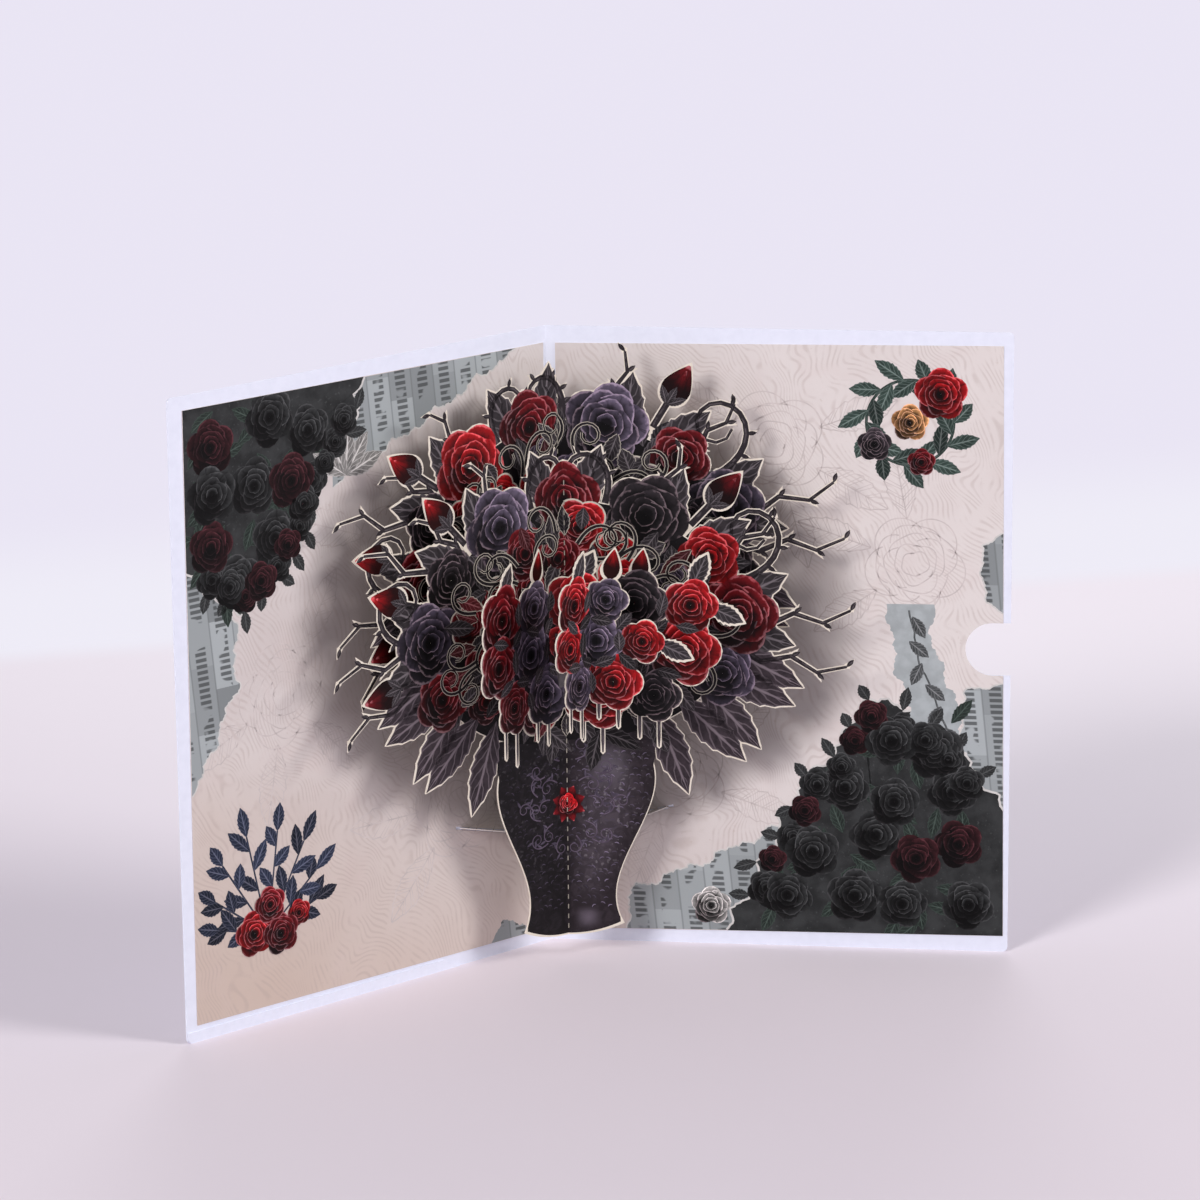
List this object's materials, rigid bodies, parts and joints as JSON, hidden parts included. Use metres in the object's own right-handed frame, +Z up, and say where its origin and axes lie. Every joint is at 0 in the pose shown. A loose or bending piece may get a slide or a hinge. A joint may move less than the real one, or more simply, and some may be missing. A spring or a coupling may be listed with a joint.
{
  "type": "pop-up greeting card",
  "caption": "Folded card standing open, with printed liners, a thumb notch and layered die-cut flowers in a vase that float in front of the fold on paper strips.",
  "frame": {"origin": "foot of the gutter, where the inner faces of the cover meet the surface it stands on", "axes": "+Z up along the gutter, the card opens towards -Y, +X to the reader's right"},
  "size_m": [0.2654, 0.0595, 0.2],
  "materials": {
    "cover_card": "smooth white card",
    "liner_print": "printed matte paper",
    "flower_print": "printed satin card",
    "strip_paper": "plain matte paper"
  },
  "bodies": {
    "root": {"cover": "cover_card", "left_liner": "liner_print", "right_liner": "liner_print", "rear_bouquet": "flower_print", "vase_bouquet": "flower_print", "front_bouquet": "flower_print", "front_spray": "flower_print", "rear_spacer_left": "strip_paper", "rear_spacer_right": "strip_paper", "vase_spacer_left": "strip_paper", "vase_spacer_right": "strip_paper", "front_spacer_left": "strip_paper", "front_spacer_right": "strip_paper", "spray_spacer_left": "strip_paper", "spray_spacer_right": "strip_paper", "vase_strut_left": "strip_paper", "vase_strut_right": "strip_paper"}
  },
  "joints": []
}
